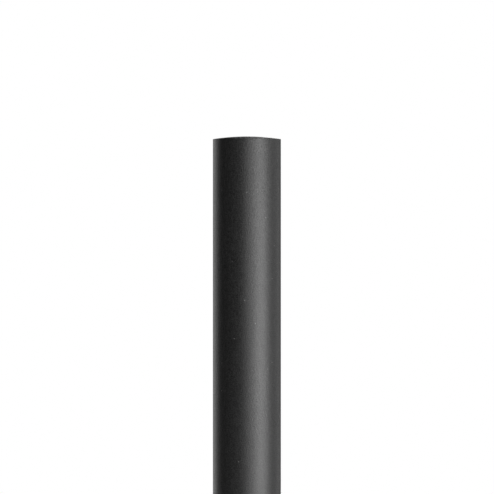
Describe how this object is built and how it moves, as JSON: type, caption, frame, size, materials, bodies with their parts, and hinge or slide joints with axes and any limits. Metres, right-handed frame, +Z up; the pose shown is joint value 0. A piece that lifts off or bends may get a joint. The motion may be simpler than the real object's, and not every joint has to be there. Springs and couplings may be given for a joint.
{
  "type": "bollard post",
  "caption": "Slim round bollard post with a flush domed cap, a bolt-down base plate and a cover collar that slides up the post over the anchors.",
  "frame": {"origin": "on the tube's axis at ground level, the middle of the part's underside", "axes": "+Z up along the tube; the anchor holes lie at 45 degrees between the X and Y axes; -Y is the front, and one set screw points to +Y, the back"},
  "size_m": [0.2229, 0.2228, 1],
  "materials": {
    "powder_coat": "fine-textured satin powder coat, dark grey, on steel",
    "collar_coat": "the same dark grey fine-textured powder coat, on cast aluminium",
    "galvanised_steel": "hot-dip galvanised, dull",
    "gasket_rubber": "matt black EPDM",
    "seal_rubber": "smooth black rubber",
    "trim_rubber": "satin black extruded EPDM",
    "stainless_steel": "plain stainless steel",
    "nylon": "natural nylon"
  },
  "bodies": {
    "post": {"post_tube": "powder_coat", "top_cap": "powder_coat", "cap_seam_weld": "powder_coat", "cap_backing_ring": "galvanised_steel", "base_plate": "powder_coat", "base_weld": "powder_coat", "base_gasket": "gasket_rubber"},
    "collar": {"cover_collar": "collar_coat", "collar_seal": "seal_rubber", "collar_foot_trim": "trim_rubber", "collar_screws": "stainless_steel", "screw_tips": "nylon"}
  },
  "joints": [
    {"name": "collar_slide", "type": "slide", "parent": "post", "child": "collar", "axis": [0, 0, 1], "range_m": [0, 0.9]}
  ]
}
